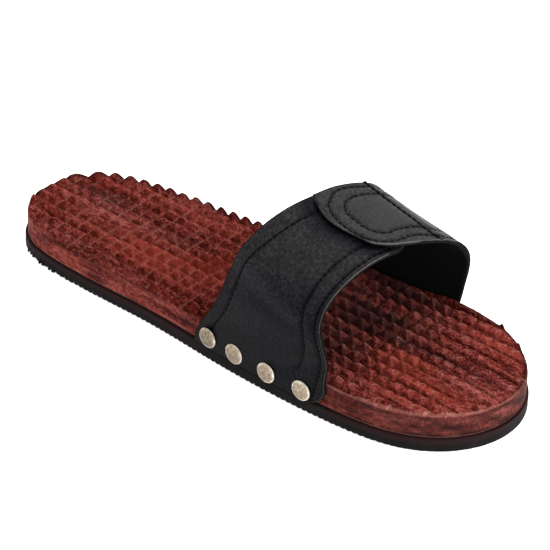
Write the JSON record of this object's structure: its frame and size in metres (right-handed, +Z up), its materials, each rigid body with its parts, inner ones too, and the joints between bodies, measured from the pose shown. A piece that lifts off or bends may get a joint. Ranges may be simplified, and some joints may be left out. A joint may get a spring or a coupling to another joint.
{
  "type": "massage slipper",
  "caption": "Open massage slide for the right foot: wooden footbed sawn into pressure pyramids, flat rubber outsole, and a tacked leather strap closed on top by a round-ended flap.",
  "frame": {"origin": "on the floor, under the centre of the slipper's bounding box", "axes": "+Y to the toe, +X to the lateral side of the right foot, +Z up"},
  "size_m": [0.1007, 0.278, 0.0852],
  "materials": {
    "rubber": "matte, rough cut edge",
    "wood": "satin, red brown hardwood",
    "leather": "semi-matte black grain",
    "brass": "satin, pale"
  },
  "bodies": {
    "root": {"outsole": "rubber", "footbed": "wood", "upper_strap": "leather", "tack_lateral_1": "brass", "tack_lateral_2": "brass", "tack_lateral_3": "brass", "tack_lateral_4": "brass", "tack_medial_1": "brass", "tack_medial_2": "brass", "tack_medial_3": "brass", "tack_medial_4": "brass"}
  },
  "joints": []
}
